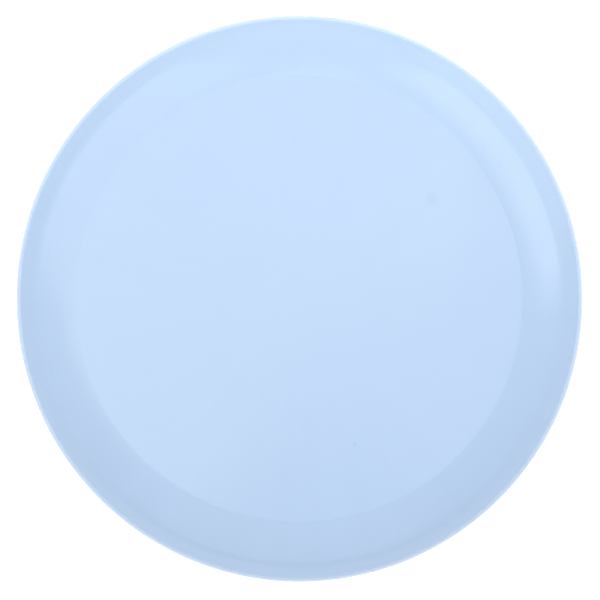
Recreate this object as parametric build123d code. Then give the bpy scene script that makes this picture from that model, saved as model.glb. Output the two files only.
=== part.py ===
"""A flying disc: one moulding, a flat flight plate that rolls over a crowned shoulder and a straight flank
into a blunt, heavy rim, with a tight brow where the flank meets the nose.

Millimetres, +Z up, origin in the middle of the plane that the rim stands on, +Z along the spin axis.
The whole disc is one outline turned about the spin axis, so every name below is a radius, a height or a
length in that outline. A slope is in degrees from level.
"""
from build123d import *
import math
import os

# Driving dimensions
OUTER_RADIUS = 106.0      # spin axis to the nose, the widest line of the rim
HEIGHT = 20.0             # ground to the top of the flight plate
FLAT_RADIUS = 80.8        # edge of the flat part of the flight plate
PLATE = 2.4               # flight plate thickness, kept over the crown
EDGE_RADIUS = 7.5         # the plate's edge rolls over at this radius
EDGE_SLOPE = 10.3         # down to this slope
CROWN_RADIUS = 82.0       # the crowned shoulder outside the edge
CROWN_SLOPE = 19.8
TURN_RADIUS = 18.0        # the turn from the crown to the flank
FLANK_SLOPE = 34.3        # the straight flank between the turn and the brow
BROW_RADIUS = 0.8         # the tight brow that rounds the corner between the flank and the nose
NOSE_SLOPE = 50.0         # slope at which the nose leaves the brow
NOSE_RADIUS = 11.5        # the blunt outer edge
UNDERCUT = 14.0           # degrees that the outer wall leans in, from the nose down to the foot
INNER_RADIUS = 96.9       # mouth of the hollow, at the foot
INNER_DRAFT = 1.5         # degrees that the inner wall leans in, so that the disc leaves its mould
FOOT_OUTER_FILLET = 1.5
FOOT_INNER_FILLET = 2.0
HOLLOW_FILLET = 2.2       # root of the inner wall, under the shoulder

# The trimmed injection gate, in the middle of the underside
GATE_PAD_RADIUS = 5.0
GATE_PAD_DROP = 0.35
GATE_PAD_FILLET = 0.25
GATE_NUB_RADIUS = 1.1
GATE_NUB_DROP = 0.5
GATE_NUB_FILLET = 0.3


def square_to(slope, start, distance):
    """The point at that distance from start, outwards and up, square to a surface of that slope."""
    angle = math.radians(slope)
    return start[0] + distance * math.sin(angle), start[1] + distance * math.cos(angle)


# Each arc runs on smoothly from the one before it, so their centres lie on one line square to the surface.
EDGE_CENTRE = (FLAT_RADIUS, HEIGHT - EDGE_RADIUS)
CROWN_CENTRE = square_to(EDGE_SLOPE, EDGE_CENTRE, EDGE_RADIUS - CROWN_RADIUS)
TURN_CENTRE = square_to(CROWN_SLOPE, CROWN_CENTRE, CROWN_RADIUS - TURN_RADIUS)
FLANK_TOP = square_to(FLANK_SLOPE, TURN_CENTRE, TURN_RADIUS)
# From the nose's centre, out over the brow to the foot of the flank
NOSE_TO_BROW = square_to(NOSE_SLOPE, (0, 0), NOSE_RADIUS - BROW_RADIUS)
NOSE_TO_FLANK = square_to(FLANK_SLOPE, NOSE_TO_BROW, BROW_RADIUS)
FLANK_FOOT_X = OUTER_RADIUS - NOSE_RADIUS + NOSE_TO_FLANK[0]
FLANK_DROP = (FLANK_FOOT_X - FLANK_TOP[0]) * math.tan(math.radians(FLANK_SLOPE))
FLANK_FOOT = (FLANK_FOOT_X, FLANK_TOP[1] - FLANK_DROP)
BROW_CENTRE = square_to(FLANK_SLOPE, FLANK_FOOT, -BROW_RADIUS)
NOSE_CENTRE = square_to(NOSE_SLOPE, BROW_CENTRE, BROW_RADIUS - NOSE_RADIUS)
CEILING = HEIGHT - PLATE  # underside of the flight plate


def hollow_corner():
    """Where the inner wall would meet the underside of the crown if no fillet joined them."""
    lean = math.tan(math.radians(INNER_DRAFT))
    across = INNER_RADIUS - CROWN_CENTRE[0]
    # The wall is the line x = INNER_RADIUS - lean * z, and the underside is a circle: a quadratic in z.
    a = 1 + lean**2
    b = across * lean + CROWN_CENTRE[1]
    c = across**2 + CROWN_CENTRE[1] ** 2 - (CROWN_RADIUS - PLATE) ** 2
    z = (b + math.sqrt(b**2 - a * c)) / a
    return INNER_RADIUS - lean * z, z


def upper_outline():
    """The top of the disc, from the spin axis over the shoulder and the nose to the foot's outer corner."""
    nose = CenterArc(NOSE_CENTRE, NOSE_RADIUS, 90 - NOSE_SLOPE, NOSE_SLOPE - 90 - UNDERCUT)
    wall_top = nose @ 1
    foot_corner = (wall_top.X - wall_top.Y * math.tan(math.radians(UNDERCUT)), 0)
    return [
        Line((0, HEIGHT), (FLAT_RADIUS, HEIGHT)),
        CenterArc(EDGE_CENTRE, EDGE_RADIUS, 90, -EDGE_SLOPE),
        CenterArc(CROWN_CENTRE, CROWN_RADIUS, 90 - EDGE_SLOPE, EDGE_SLOPE - CROWN_SLOPE),
        CenterArc(TURN_CENTRE, TURN_RADIUS, 90 - CROWN_SLOPE, CROWN_SLOPE - FLANK_SLOPE),
        Line(FLANK_TOP, FLANK_FOOT),
        CenterArc(BROW_CENTRE, BROW_RADIUS, 90 - FLANK_SLOPE, FLANK_SLOPE - NOSE_SLOPE),
        nose,
        Line(wall_top, foot_corner),
    ]


def lower_outline(foot_corner):
    """The foot, the inner wall and the underside, back to the spin axis at the gate."""
    corner = hollow_corner()
    foot = Line(foot_corner, (INNER_RADIUS, 0))
    wall = Line((INNER_RADIUS, 0), corner)
    start = math.degrees(math.atan2(corner[1] - CROWN_CENTRE[1], corner[0] - CROWN_CENTRE[0]))
    under_crown = CenterArc(CROWN_CENTRE, CROWN_RADIUS - PLATE, start, 90 - EDGE_SLOPE - start)
    under_edge = CenterArc(EDGE_CENTRE, EDGE_RADIUS - PLATE, 90 - EDGE_SLOPE, EDGE_SLOPE)
    pad_z = CEILING - GATE_PAD_DROP
    nub_z = pad_z - GATE_NUB_DROP
    underside = Polyline(
        (FLAT_RADIUS, CEILING),
        (GATE_PAD_RADIUS, CEILING),
        (GATE_PAD_RADIUS, pad_z),
        (GATE_NUB_RADIUS, pad_z),
        (GATE_NUB_RADIUS, nub_z),
        (0, nub_z),
        (0, HEIGHT),
    )
    return [foot, wall, under_crown, under_edge, underside]


def rounded(face, point, radius):
    """The face with the corner nearest to point rounded."""
    return fillet(face.vertices().sort_by_distance((*point, 0))[0], radius)


def disc():
    """The moulding: half of its section, rounded at its corners, turned about the spin axis."""
    upper = upper_outline()
    foot_corner = tuple(upper[-1] @ 1)[:2]
    section = make_face(upper + lower_outline(foot_corner))
    pad_z = CEILING - GATE_PAD_DROP
    section = rounded(section, foot_corner, FOOT_OUTER_FILLET)
    section = rounded(section, (INNER_RADIUS, 0), FOOT_INNER_FILLET)
    section = rounded(section, hollow_corner(), HOLLOW_FILLET)
    section = rounded(section, (GATE_PAD_RADIUS, pad_z), GATE_PAD_FILLET)
    section = rounded(section, (GATE_NUB_RADIUS, pad_z - GATE_NUB_DROP), GATE_NUB_FILLET)
    return revolve(Plane.XZ * section, Axis.Z)


os.makedirs("parts", exist_ok=True)
export_step(disc(), "parts/disc.step")
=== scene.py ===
import math

import bpy
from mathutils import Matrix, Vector, noise


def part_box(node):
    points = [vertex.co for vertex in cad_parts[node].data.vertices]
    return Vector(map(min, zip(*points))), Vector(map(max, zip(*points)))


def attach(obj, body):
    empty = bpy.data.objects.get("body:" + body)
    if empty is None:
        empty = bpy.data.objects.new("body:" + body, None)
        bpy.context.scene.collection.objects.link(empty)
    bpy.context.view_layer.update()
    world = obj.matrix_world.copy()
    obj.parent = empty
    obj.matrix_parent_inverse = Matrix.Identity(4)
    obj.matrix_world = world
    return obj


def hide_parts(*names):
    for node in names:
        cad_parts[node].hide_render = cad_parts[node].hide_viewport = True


# A pale-blue flying disc lying on a pale studio floor, seen from above.
#
# Metres, +Z up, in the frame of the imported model: the disc stands on z = 0 and spins about Z.
# Angles are in degrees. A slope is measured from level, and a direction from +X, seen from above.

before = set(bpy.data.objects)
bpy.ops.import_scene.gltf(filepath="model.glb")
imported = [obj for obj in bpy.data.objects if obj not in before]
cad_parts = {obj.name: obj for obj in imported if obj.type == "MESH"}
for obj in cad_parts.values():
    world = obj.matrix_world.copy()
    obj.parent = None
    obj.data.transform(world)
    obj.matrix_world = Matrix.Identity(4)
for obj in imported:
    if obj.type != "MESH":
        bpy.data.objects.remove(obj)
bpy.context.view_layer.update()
disc_low, disc_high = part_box("disc")

MM = 0.001

# The disc, by the dimensions that shape its outline
RADIUS = min(disc_high.x, disc_high.y, -disc_low.x, -disc_low.y)
HEIGHT = disc_high.z
FLAT_RADIUS = 80.8 * MM
PLATE = 2.4 * MM
EDGE_RADIUS = 7.5 * MM
EDGE_SLOPE = 10.3
CROWN_RADIUS = 82.0 * MM
CROWN_SLOPE = 19.8
TURN_RADIUS = 18.0 * MM
FLANK_SLOPE = 34.3
BROW_RADIUS = 0.8 * MM
NOSE_SLOPE = 50.0
NOSE_RADIUS = 11.5 * MM
UNDERCUT = 14.0
INNER_RADIUS = 96.9 * MM
INNER_DRAFT = 1.5
FOOT_OUTER_FILLET = 1.5 * MM
FOOT_INNER_FILLET = 2.0 * MM
HOLLOW_FILLET = 2.2 * MM
GATE_PAD_RADIUS = 5.0 * MM
GATE_PAD_DROP = 0.35 * MM
GATE_NUB_RADIUS = 1.1 * MM
GATE_NUB_DROP = 0.5 * MM
GATE_FILLET = 0.25 * MM
CEILING = HEIGHT - PLATE

# Marks that the mould and its cooling leave
PARTING_RIDGE = 0.05 * MM
PARTING_HALF_WIDTH = 0.12 * MM
INSERT_RING_RADIUS = 24.0 * MM
INSERT_RING_HEIGHT = 0.06 * MM
INSERT_RING_HALF_WIDTH = 0.2 * MM
RIDGE_REACH = 4
WAVE_DEPTH = 0.06 * MM
WAVE_LENGTH = 38.0 * MM
# Blemishes in the top: share of the disc's radius, direction, own radius, depth, darkness
BLEMISHES = (
    (0.569, 36.9, 2.0 * MM, 0.03 * MM, 0.045),
    (0.537, 290.8, 0.8 * MM, 0.01 * MM, 0.055),
)
BLEMISH_MARGIN = 4.0 * MM
# Shares of a blemish's radius: the dent's half width, the start and end of the dark patch's edge, and how
# uneven that edge is. The unevenness has features of this size.
DENT_SHARE = 0.6
BLEMISH_EDGE = (0.9, 1.7)
BLEMISH_UNEVENNESS = 0.5
BLEMISH_UNEVEN_SIZE = 1.5 * MM

# The mesh: steps round the disc, along the straight runs of its outline, and along the arcs
SEGMENTS = 360
RING_STEP = 2.2 * MM
SHORT_STEP = RING_STEP / 3
BLEMISH_STEP = 0.7 * MM
EDGE_STEPS = 10
CROWN_STEPS = 14
TURN_STEPS = 12
BROW_STEPS = 6
NOSE_STEPS = 24
RIDGE_STEPS = 28
UNDERCUT_STEPS = 8
FILLET_STEPS = 8
UNDER_CROWN_STEPS = 12
UNDER_EDGE_STEPS = 6
GATE_STEPS = 5

# The plastic: its two tints, which are nearly alike, and its satin
PLASTIC = (0.503, 0.669, 0.887, 1)
PLASTIC_COOL = (0.500, 0.668, 0.891, 1)
TINT_SIZE = 60 * MM
PLASTIC_ROUGHNESS = 0.20
PLASTIC_IOR = 1.5

# Its unevenness: the size of each pattern, and how far it moves the tone or the roughness.
# A streak's width is a share of the radius at which it lies.
STREAK_SHARE = 0.11
STREAK_TONE = 0.004
STREAK_START = (15 * MM, 45 * MM)
CLOUD_SIZE = 45 * MM
CLOUD_TONE = 0.006
MOTTLE_SIZE = 0.8 * MM
MOTTLE_TONE = 0.008
SPECK_SPACING = 9 * MM
SPECK_RADIUS = 0.108 * MM
SPECK_TONE = -0.05
SMUDGE_SIZE = 20 * MM
SMUDGE_ROUGHNESS = 0.035
SATIN_SIZE = 1.2 * MM
SATIN_ROUGHNESS = 0.012
GRAIN_SIZE = 0.5 * MM
GRAIN_DEPTH = 0.003 * MM

# Scratches: the hairlines' direction, length and width, and what all scratches do to the surface
HAIRLINES = ((25, 30 * MM, 0.16 * MM), (118, 22 * MM, 0.14 * MM))
HAIRLINE_PATCH = 30 * MM
RIM_SCRATCH_LENGTH = 14 * MM
RIM_SCRATCH_THINNESS = 36
RIM_SCRATCH_STRENGTH = 0.8
RIM_SCRATCH_MARGIN = 2 * MM
SCRATCH_DEPTH = 0.004 * MM
SCRATCH_ROUGHNESS = 0.14
MARK_TONE = 0.012

# Wear on the nose and the foot, with fine dents. It fades over these heights, above and below the widest
# line on the nose and above the ground on the foot, and comes in over these depths inside the widest line.
WEAR_SIZE = 1.0 * MM
WEAR_ROUGHNESS = 0.05
NOSE_WEAR_HEIGHTS = (1.5 * MM, 4 * MM)
NOSE_WEAR_DEPTHS = (1.2 * MM, 0.3 * MM)
FOOT_WEAR_HEIGHTS = (0.3 * MM, 1.6 * MM)
DENT_SIZE = 0.35 * MM
DENT_DEPTH = 0.006 * MM

# A noise lies mostly between 0.3 and 0.7. Patterns come in over these stretches of it.
EVENLY = (0.3, 0.7)
SOFTLY = (0.25, 0.75)
CRISPLY = (0.35, 0.65)
IN_PLACES = (0.50, 0.62)
IN_SMUDGES = (0.48, 0.70)
IN_WEAR = (0.50, 0.72)
ON_FEW_RINGS = (0.66, 0.74)
ON_FEW_LINES = (0.70, 0.80)

# The picture
LENS = 85.0
SENSOR = 36.0
DISC_SHARE = 0.942
CAMERA_OFFSET = (0.18 * MM, -0.56 * MM)

# The floor: white board with a mottle, a matt finish and a tooth, and light of its own
FLOOR_HALF_SIZE = 3.0
FLOOR_WHITE = (0.93, 0.93, 0.93)
FLOOR_MOTTLE_SIZE = 120 * MM
FLOOR_MOTTLE = (0.985, 1.0)
FLOOR_MATT_SIZE = 6 * MM
FLOOR_ROUGHNESS = (0.62, 0.74)
FLOOR_TOOTH_SIZE = 0.6 * MM
FLOOR_TOOTH_DEPTH = 0.01 * MM
FLOOR_GLOW = 0.45
GLOW_COLOUR = (0.95, 0.95, 1.0, 1)

# The surroundings: even and dim, and brighter along the horizon in front, up to a height where that fades out
SURROUNDINGS = 0.29
FRONT_GLOW = 1.4
FRONT_GLOW_FADE = (0.10, 0.30)

# Soft panels: direction, elevation, width and height as the disc sees them, and brightness
PANEL_DISTANCE = 1.2
SOFTBOXES = {
    "key": (33, 44, 46, 19, 2.55),
    "second": (143, 45, 46, 33, 1.5),
    "top_fill": (88, 34, 33, 42, 0.68),
    "overhead": (136, 79, 62, 31, 1.82),
    "overhead_right": (350, 80, 20, 10, 1.2),
    "front": (267, 43, 48, 33, 0.5),
    "low_right": (38, 18, 50, 28, 0.62),
}


def turned(angle, length=1.0):
    """The point at that angle, in degrees, and that distance from the origin of a plane."""
    return Vector((math.cos(math.radians(angle)), math.sin(math.radians(angle)))) * length


def line(start, end, step):
    """Points of a straight run, about that step apart, without its last one."""
    start = Vector(start)
    end = Vector(end)
    count = max(1, round((end - start).length / step))
    return [start.lerp(end, i / count) for i in range(count)]


def arc(centre, radius, start, end, count):
    """Points of an arc, without its last one, turning from start to end."""
    return [Vector(centre) + turned(start + (end - start) * i / count, radius) for i in range(count)]


def ridge(distance, half_width):
    """A smooth ridge: 1 on its line, nearly 0 two half widths away, and nothing at RIDGE_REACH of them."""
    return math.exp(-((distance / half_width) ** 2))


# Each arc runs on smoothly from the one before it, so their centres lie on one line square to the surface.
EDGE_CENTRE = Vector((FLAT_RADIUS, HEIGHT - EDGE_RADIUS))
CROWN_CENTRE = EDGE_CENTRE + turned(90 - EDGE_SLOPE, EDGE_RADIUS - CROWN_RADIUS)
TURN_CENTRE = CROWN_CENTRE + turned(90 - CROWN_SLOPE, CROWN_RADIUS - TURN_RADIUS)
FLANK_TOP = TURN_CENTRE + turned(90 - FLANK_SLOPE, TURN_RADIUS)
# From the nose's centre to the foot of the flank, over the brow that rounds the corner between them
NOSE_TO_FLANK = turned(90 - NOSE_SLOPE, NOSE_RADIUS - BROW_RADIUS) + turned(90 - FLANK_SLOPE, BROW_RADIUS)


def nose_centre():
    """The nose's centre, which leaves room at its widest line for the parting ridge."""
    x = RADIUS - PARTING_RIDGE - NOSE_RADIUS
    run = x + NOSE_TO_FLANK.x - FLANK_TOP.x
    flank_foot = FLANK_TOP.y - run * math.tan(math.radians(FLANK_SLOPE))
    return Vector((x, flank_foot - NOSE_TO_FLANK.y))


def plate_top():
    """Points over the flat plate, closer together where the blemishes are."""
    reaches = [share * RADIUS for share, *_ in BLEMISHES]
    inner = (min(reaches) - BLEMISH_MARGIN, HEIGHT)
    outer = (max(reaches) + BLEMISH_MARGIN, HEIGHT)
    points = line((0, HEIGHT), inner, RING_STEP)
    points += line(inner, outer, BLEMISH_STEP)
    points += line(outer, (FLAT_RADIUS, HEIGHT), RING_STEP)
    return points


def nose(centre):
    """The blunt nose, with the fine ridge that the two halves of the mould leave on its widest line."""
    band = RIDGE_REACH * math.degrees(PARTING_HALF_WIDTH / NOSE_RADIUS)
    above = (90 - NOSE_SLOPE, band, NOSE_STEPS)
    across = (band, -band, RIDGE_STEPS)
    below = (-band, -UNDERCUT, UNDERCUT_STEPS)
    points = []
    for start, end, count in (above, across, below):
        for i in range(count):
            angle = start + (end - start) * i / count
            lift = PARTING_RIDGE * ridge(math.radians(angle) * NOSE_RADIUS, PARTING_HALF_WIDTH)
            points.append(centre + turned(angle, NOSE_RADIUS + lift))
    return points


def top_outline():
    """From the spin axis over the plate, the shoulder and the nose, to the outer edge of the foot."""
    centre = nose_centre()
    brow_centre = centre + turned(90 - NOSE_SLOPE, NOSE_RADIUS - BROW_RADIUS)
    wall_top = centre + turned(-UNDERCUT, NOSE_RADIUS)
    out = turned(-UNDERCUT)
    foot = FOOT_OUTER_FILLET
    foot_centre = Vector((wall_top.x - (foot - (wall_top.y - foot) * out.y) / out.x, foot))
    points = plate_top()
    points += arc(EDGE_CENTRE, EDGE_RADIUS, 90, 90 - EDGE_SLOPE, EDGE_STEPS)
    points += arc(CROWN_CENTRE, CROWN_RADIUS, 90 - EDGE_SLOPE, 90 - CROWN_SLOPE, CROWN_STEPS)
    points += arc(TURN_CENTRE, TURN_RADIUS, 90 - CROWN_SLOPE, 90 - FLANK_SLOPE, TURN_STEPS)
    points += line(FLANK_TOP, centre + NOSE_TO_FLANK, SHORT_STEP)
    points += arc(brow_centre, BROW_RADIUS, 90 - FLANK_SLOPE, 90 - NOSE_SLOPE, BROW_STEPS)
    points += nose(centre)
    points += line(wall_top, foot_centre + turned(-UNDERCUT, foot), SHORT_STEP)
    points += arc(foot_centre, foot, -UNDERCUT, -90, FILLET_STEPS)
    points.append(foot_centre - Vector((0, foot)))
    return points


def inner_wall():
    """From the foot's inner edge up the drafted wall and round into the underside of the crown and edge."""
    draft = turned(INNER_DRAFT)
    foot = FOOT_INNER_FILLET
    foot_centre = Vector((INNER_RADIUS + foot * (1 - draft.y) / draft.x, foot))
    # The fillet touches the wall and the underside.
    # Its centre is where a line beside the wall meets an arc under the underside.
    beside_wall = Vector((INNER_RADIUS, 0)) - draft * HOLLOW_FILLET
    up = Vector((-draft.y, draft.x))
    offset = beside_wall - CROWN_CENTRE
    along = offset.dot(up)
    reach = CROWN_RADIUS - PLATE - HOLLOW_FILLET
    fillet_centre = beside_wall + up * (math.sqrt(along**2 - offset.length_squared + reach**2) - along)
    towards = fillet_centre - CROWN_CENTRE
    crown_start = math.degrees(math.atan2(towards.y, towards.x))
    points = arc(foot_centre, foot, -90, INNER_DRAFT - 180, FILLET_STEPS)
    wall_start = foot_centre + turned(INNER_DRAFT - 180, foot)
    points += line(wall_start, fillet_centre + draft * HOLLOW_FILLET, RING_STEP)
    points += arc(fillet_centre, HOLLOW_FILLET, INNER_DRAFT, crown_start, FILLET_STEPS)
    points += arc(CROWN_CENTRE, CROWN_RADIUS - PLATE, crown_start, 90 - EDGE_SLOPE, UNDER_CROWN_STEPS)
    points += arc(EDGE_CENTRE, EDGE_RADIUS - PLATE, 90 - EDGE_SLOPE, 90, UNDER_EDGE_STEPS)
    return points


def underside():
    """The plate's underside, in over the mould insert's ring to the trimmed gate on the spin axis."""
    pad = CEILING - GATE_PAD_DROP
    nub = pad - GATE_NUB_DROP
    ring_reach = RIDGE_REACH * INSERT_RING_HALF_WIDTH
    ring_start = (INSERT_RING_RADIUS + ring_reach, CEILING)
    ring_end = (INSERT_RING_RADIUS - ring_reach, CEILING)
    pad_root = (GATE_PAD_RADIUS + GATE_FILLET, CEILING)
    pad_edge = GATE_PAD_RADIUS - GATE_FILLET
    nub_root = (GATE_NUB_RADIUS + GATE_FILLET, pad)
    nub_edge = GATE_NUB_RADIUS - GATE_FILLET
    points = line((FLAT_RADIUS, CEILING), ring_start, RING_STEP)
    for point in line(ring_start, ring_end, INSERT_RING_HALF_WIDTH / 2):
        drop = INSERT_RING_HEIGHT * ridge(point.x - INSERT_RING_RADIUS, INSERT_RING_HALF_WIDTH)
        points.append(point - Vector((0, drop)))
    points += line(ring_end, pad_root, RING_STEP)
    points.append(Vector(pad_root))
    points += arc((pad_edge, pad + GATE_FILLET), GATE_FILLET, 0, -90, GATE_STEPS)
    points += line((pad_edge, pad), nub_root, RING_STEP)
    points.append(Vector(nub_root))
    points += arc((nub_edge, nub + GATE_FILLET), GATE_FILLET, 0, -90, GATE_STEPS)
    points += line((nub_edge, nub), (0, nub), GATE_FILLET)
    points.append(Vector((0, nub)))
    return points


def hollowed(x, y):
    """How far the top lies below its ideal shape at x, y: slow waves of cooling, and the blemishes."""
    reach = math.hypot(x, y)
    nose_line = RADIUS - NOSE_RADIUS
    fade = min(1.0, max(0.0, (nose_line - reach) / (nose_line - FLAT_RADIUS)))
    wave = 0.5 + 0.5 * noise.noise(Vector((x, y, 0)) / WAVE_LENGTH)
    depth = WAVE_DEPTH * wave * fade
    for share, direction, radius, deep, _ in BLEMISHES:
        away = (Vector((x, y)) - turned(direction, share * RADIUS)).length
        depth += deep * ridge(away, radius * DENT_SHARE)
    return depth


def lathe(name, outline, segments):
    """A closed mesh: the outline, which starts and ends on the spin axis, turned about it."""
    vertices = [(0, 0, outline[0].y)]
    for point in outline[1:-1]:
        for s in range(segments):
            turn = math.tau * s / segments
            vertices.append((point.x * math.cos(turn), point.x * math.sin(turn), point.y))
    vertices.append((0, 0, outline[-1].y))
    rings = len(outline) - 2
    last = 1 + (rings - 1) * segments
    faces = []
    for s in range(segments):
        after = (s + 1) % segments
        faces.append((0, 1 + s, 1 + after))
        faces.append((last + after, last + s, len(vertices) - 1))
        for ring in range(rings - 1):
            inner = 1 + ring * segments
            outer = inner + segments
            faces.append((inner + s, outer + s, outer + after, inner + after))
    mesh = bpy.data.meshes.new(name)
    mesh.from_pydata(vertices, [], faces)
    mesh.shade_smooth()
    piece = bpy.data.objects.new(name, mesh)
    bpy.context.scene.collection.objects.link(piece)
    return piece


def make_disc():
    """The moulding, with the marks of its mould and its cooling in its surface."""
    top = top_outline()
    piece = lathe("disc_moulding", top + inner_wall() + underside(), SEGMENTS)
    top_vertices = 1 + (len(top) - 1) * SEGMENTS
    for vertex in piece.data.vertices[:top_vertices]:
        if vertex.co.z > HEIGHT / 2:
            vertex.co.z -= hollowed(vertex.co.x, vertex.co.y)
    return piece


class Nodes:
    """A node tree, and short ways to add nodes to it. Its patterns lie in the coordinates it is made with."""

    def __init__(self, tree, coordinates):
        self.tree = tree
        self.place = self.node("ShaderNodeTexCoord", {}).outputs[coordinates]

    def feed(self, socket, value):
        if isinstance(value, bpy.types.NodeSocket):
            self.tree.links.new(value, socket)
        else:
            socket.default_value = value

    def node(self, kind, inputs, **settings):
        made = self.tree.nodes.new(kind)
        for key, value in settings.items():
            setattr(made, key, value)
        for key, value in inputs.items():
            self.feed(made.inputs[key], value)
        return made

    def math(self, operation, first, second=0.0):
        return self.node("ShaderNodeMath", {0: first, 1: second}, operation=operation).outputs[0]

    def product(self, first, second):
        return self.math("MULTIPLY", first, second)

    def total(self, *values):
        result = values[0]
        for value in values[1:]:
            result = self.math("ADD", result, value)
        return result

    def vector_math(self, operation, inputs, output=0):
        return self.node("ShaderNodeVectorMath", inputs, operation=operation).outputs[output]

    def stretched(self, factors, place=None):
        """The coordinates, multiplied along X, Y and Z."""
        return self.vector_math("MULTIPLY", {0: place or self.place, 1: factors})

    def noise(self, size, detail=2.0, place=None):
        """Noise with features of about that size, centred on 0.5."""
        inputs = {"Vector": place or self.place, "Scale": 1 / size, "Detail": detail}
        return self.node("ShaderNodeTexNoise", inputs).outputs["Fac"]

    def ramp(self, value, stretch, low=0.0, high=1.0):
        """The value, taken smoothly from that stretch of it to low..high."""
        inputs = {"Value": value, "From Min": stretch[0], "From Max": stretch[1]}
        inputs |= {"To Min": low, "To Max": high}
        return self.node("ShaderNodeMapRange", inputs, interpolation_type="SMOOTHSTEP").outputs["Result"]

    def bump(self, height):
        """The normal of a surface that stands out by that height, in metres."""
        inputs = {"Height": height, "Distance": 1.0, "Strength": 1.0}
        return self.node("ShaderNodeBump", inputs).outputs["Normal"]


def new_material(name):
    """A material, its nodes and its shader."""
    material = bpy.data.materials.new(name)
    material.use_nodes = True
    return material, Nodes(material.node_tree, "Object"), material.node_tree.nodes["Principled BSDF"]


def hairlines(n, direction, length, width):
    """1 on fine straight scratches that run in that direction, and 0 between them."""
    inputs = {"Vector": n.place, "Rotation": (0, 0, math.radians(-direction))}
    along = n.node("ShaderNodeMapping", inputs).outputs[0]
    lines = n.noise(width, detail=1.0, place=n.stretched((width / length, 1, 1), along))
    patches = n.noise(HAIRLINE_PATCH, detail=1.0, place=along)
    return n.product(n.ramp(lines, ON_FEW_LINES), n.ramp(patches, IN_PLACES))


def scratches(n, reach):
    """Scratches. Discs land spinning, so the rim's run round it. The others are straight and run two ways."""
    squeezed = n.stretched((1, 1, RIM_SCRATCH_THINNESS))
    rings = n.ramp(n.noise(RIM_SCRATCH_LENGTH, detail=3.0, place=squeezed), ON_FEW_RINGS)
    outwards = n.ramp(reach, (FLAT_RADIUS, RADIUS - RIM_SCRATCH_MARGIN), 0, RIM_SCRATCH_STRENGTH)
    straight = n.math("MAXIMUM", hairlines(n, *HAIRLINES[0]), hairlines(n, *HAIRLINES[1]))
    return n.math("MAXIMUM", n.product(rings, outwards), straight)


def wear(n, height, reach):
    """Wear, in patches, where the rim meets the ground and other things: on the nose and the foot."""
    off_nose = n.math("ABSOLUTE", n.math("SUBTRACT", height, nose_centre().y))
    outermost = [RADIUS - depth for depth in NOSE_WEAR_DEPTHS]
    at_nose = n.product(n.ramp(off_nose, NOSE_WEAR_HEIGHTS, 1, 0), n.ramp(reach, outermost))
    at_foot = n.ramp(height, FOOT_WEAR_HEIGHTS, 1, 0)
    return n.product(n.math("MAXIMUM", at_nose, at_foot), n.ramp(n.noise(WEAR_SIZE, detail=3.0), IN_WEAR))


def blemish_shade(n, level, upper):
    """How much the marks in the top darken it."""
    shades = []
    for share, direction, radius, _, darkness in BLEMISHES:
        middle = (*turned(direction, share * RADIUS), 0)
        away = n.vector_math("DISTANCE", {0: level, 1: middle}, "Value")
        away = n.math("ADD", away, n.product(n.noise(BLEMISH_UNEVEN_SIZE), radius * BLEMISH_UNEVENNESS))
        edge = [radius * factor for factor in BLEMISH_EDGE]
        shades.append(n.ramp(away, edge, darkness, 0.0))
    return n.product(n.total(*shades), upper)


def plastic_tone(n, level, reach, upper, marks):
    """What the plastic's colour is multiplied by: about 1."""
    # The melt flows out from the gate, so its streaks are radial, and too narrow to show near the middle.
    heading = n.vector_math("NORMALIZE", {0: level})
    streaks = n.ramp(n.noise(STREAK_SHARE, detail=3.0, place=heading), EVENLY, -STREAK_TONE, STREAK_TONE)
    streaks = n.product(streaks, n.ramp(reach, STREAK_START))
    clouds = n.ramp(n.noise(CLOUD_SIZE), EVENLY, -CLOUD_TONE, CLOUD_TONE)
    mottling = n.ramp(n.noise(MOTTLE_SIZE, detail=3.0), SOFTLY, -MOTTLE_TONE, MOTTLE_TONE)
    speck_inputs = {"Vector": n.place, "Scale": 1 / SPECK_SPACING}
    specks = n.node("ShaderNodeTexVoronoi", speck_inputs).outputs["Distance"]
    speck_size = SPECK_RADIUS / SPECK_SPACING
    specks = n.ramp(specks, (speck_size, 2 * speck_size), SPECK_TONE, 0)
    tone = n.total(1.0, streaks, clouds, mottling, specks, n.product(marks, MARK_TONE))
    return n.math("SUBTRACT", tone, blemish_shade(n, level, upper))


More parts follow.
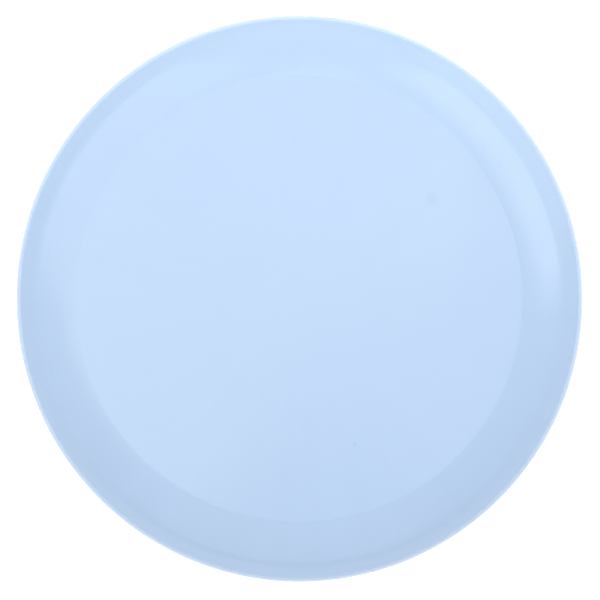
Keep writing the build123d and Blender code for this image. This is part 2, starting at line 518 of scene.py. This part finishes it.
def disc_material():
    """Satin polyurethane: nearly even, with flow streaks, faint mottling, hairlines and a scuffed rim."""
    material, n, shader = new_material("pale_blue_plastic")
    height = n.node("ShaderNodeSeparateXYZ", {0: n.place}).outputs["Z"]
    # The place, taken down to z = 0
    level = n.stretched((1, 1, 0))
    reach = n.vector_math("LENGTH", {0: level}, "Value")
    upper = n.ramp(height, (CEILING, HEIGHT - PLATE / 2))
    scratched = scratches(n, reach)
    worn = wear(n, height, reach)

    tint = n.ramp(n.noise(TINT_SIZE, detail=1.0), CRISPLY)
    tint = n.node("ShaderNodeMixRGB", {"Fac": tint, "Color1": PLASTIC, "Color2": PLASTIC_COOL}).outputs[0]
    tone = plastic_tone(n, level, reach, upper, n.math("MAXIMUM", worn, scratched))
    n.feed(shader.inputs["Base Color"], n.vector_math("SCALE", {0: tint, "Scale": tone}))

    smudges = n.ramp(n.noise(SMUDGE_SIZE, detail=5.0), IN_SMUDGES, 0, SMUDGE_ROUGHNESS)
    satin = n.ramp(n.noise(SATIN_SIZE), EVENLY, -SATIN_ROUGHNESS, SATIN_ROUGHNESS)
    scuffs = n.total(n.product(scratched, SCRATCH_ROUGHNESS), n.product(worn, WEAR_ROUGHNESS))
    n.feed(shader.inputs["Roughness"], n.total(PLASTIC_ROUGHNESS, smudges, scuffs, satin))

    grain = n.product(n.noise(GRAIN_SIZE), GRAIN_DEPTH)
    dents = n.product(worn, n.product(n.noise(DENT_SIZE, detail=3.0), DENT_DEPTH))
    cuts = n.product(scratched, -SCRATCH_DEPTH)
    n.feed(shader.inputs["Normal"], n.bump(n.total(grain, dents, cuts)))
    shader.inputs["IOR"].default_value = PLASTIC_IOR
    return material


def floor_material():
    """Matt white board, with a faint mottle and tooth, and a little light of its own, as on a light table."""
    material, n, shader = new_material("pale_board")
    mottle = n.ramp(n.noise(FLOOR_MOTTLE_SIZE, detail=4.0), EVENLY, *FLOOR_MOTTLE)
    n.feed(shader.inputs["Base Color"], n.vector_math("SCALE", {0: FLOOR_WHITE, "Scale": mottle}))
    n.feed(shader.inputs["Roughness"], n.ramp(n.noise(FLOOR_MATT_SIZE, detail=3.0), EVENLY, *FLOOR_ROUGHNESS))
    tooth = n.product(n.noise(FLOOR_TOOTH_SIZE, detail=3.0), FLOOR_TOOTH_DEPTH)
    n.feed(shader.inputs["Normal"], n.bump(tooth))
    shader.inputs["Emission Color"].default_value = GLOW_COLOUR
    shader.inputs["Emission Strength"].default_value = FLOOR_GLOW
    return material


def make_floor():
    """The level floor that the disc lies on."""
    s = FLOOR_HALF_SIZE
    mesh = bpy.data.meshes.new("floor")
    mesh.from_pydata([(-s, -s, 0), (s, -s, 0), (s, s, 0), (-s, s, 0)], [], [(0, 1, 2, 3)])
    mesh.materials.append(floor_material())
    floor = bpy.data.objects.new("floor", mesh)
    bpy.context.scene.collection.objects.link(floor)


def make_camera():
    """A camera straight over the disc, so far away that the disc takes its share of the picture."""
    data = bpy.data.cameras.new("camera")
    data.lens = LENS
    data.sensor_width = SENSOR
    camera = bpy.data.objects.new("camera", data)
    distance = RADIUS / DISC_SHARE * LENS / (SENSOR / 2)
    camera.location = (*CAMERA_OFFSET, nose_centre().y + distance)
    bpy.context.scene.collection.objects.link(camera)
    bpy.context.scene.camera = camera


def softbox(name, direction, elevation, wide, tall, brightness):
    """A soft panel that faces the disc."""
    data = bpy.data.lights.new(name, "AREA")
    data.shape = "RECTANGLE"
    data.size = 2 * PANEL_DISTANCE * math.tan(math.radians(wide / 2))
    data.size_y = 2 * PANEL_DISTANCE * math.tan(math.radians(tall / 2))
    data.energy = math.pi * data.size * data.size_y * brightness
    lamp = bpy.data.objects.new(name, data)
    ahead = turned(direction, math.cos(math.radians(elevation)))
    lamp.location = Vector((*ahead, math.sin(math.radians(elevation)))) * PANEL_DISTANCE
    lamp.rotation_euler = lamp.location.to_track_quat("Z", "Y").to_euler()
    lamp.visible_camera = False
    bpy.context.scene.collection.objects.link(lamp)


def make_world():
    """The surroundings, which light the disc from the sides as a pale room would."""
    world = bpy.data.worlds.new("studio")
    bpy.context.scene.world = world
    world.use_nodes = True
    n = Nodes(world.node_tree, "Generated")
    parts = n.node("ShaderNodeSeparateXYZ", {0: n.place}).outputs
    low = n.ramp(parts["Z"], FRONT_GLOW_FADE, FRONT_GLOW, 0)
    # Y is negative in front of the disc.
    glow = n.product(n.math("MINIMUM", parts["Y"], 0), low)
    background = world.node_tree.nodes["Background"]
    background.inputs["Color"].default_value = GLOW_COLOUR
    n.feed(background.inputs["Strength"], n.math("SUBTRACT", SURROUNDINGS, glow))


make_camera()
disc = make_disc()
disc.data.materials.append(disc_material())
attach(disc, "root")
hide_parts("disc")
make_floor()
for name, panel in SOFTBOXES.items():
    softbox(name, *panel)
make_world()
bpy.context.scene.view_settings.view_transform = "Standard"

bpy.context.view_layer.update()
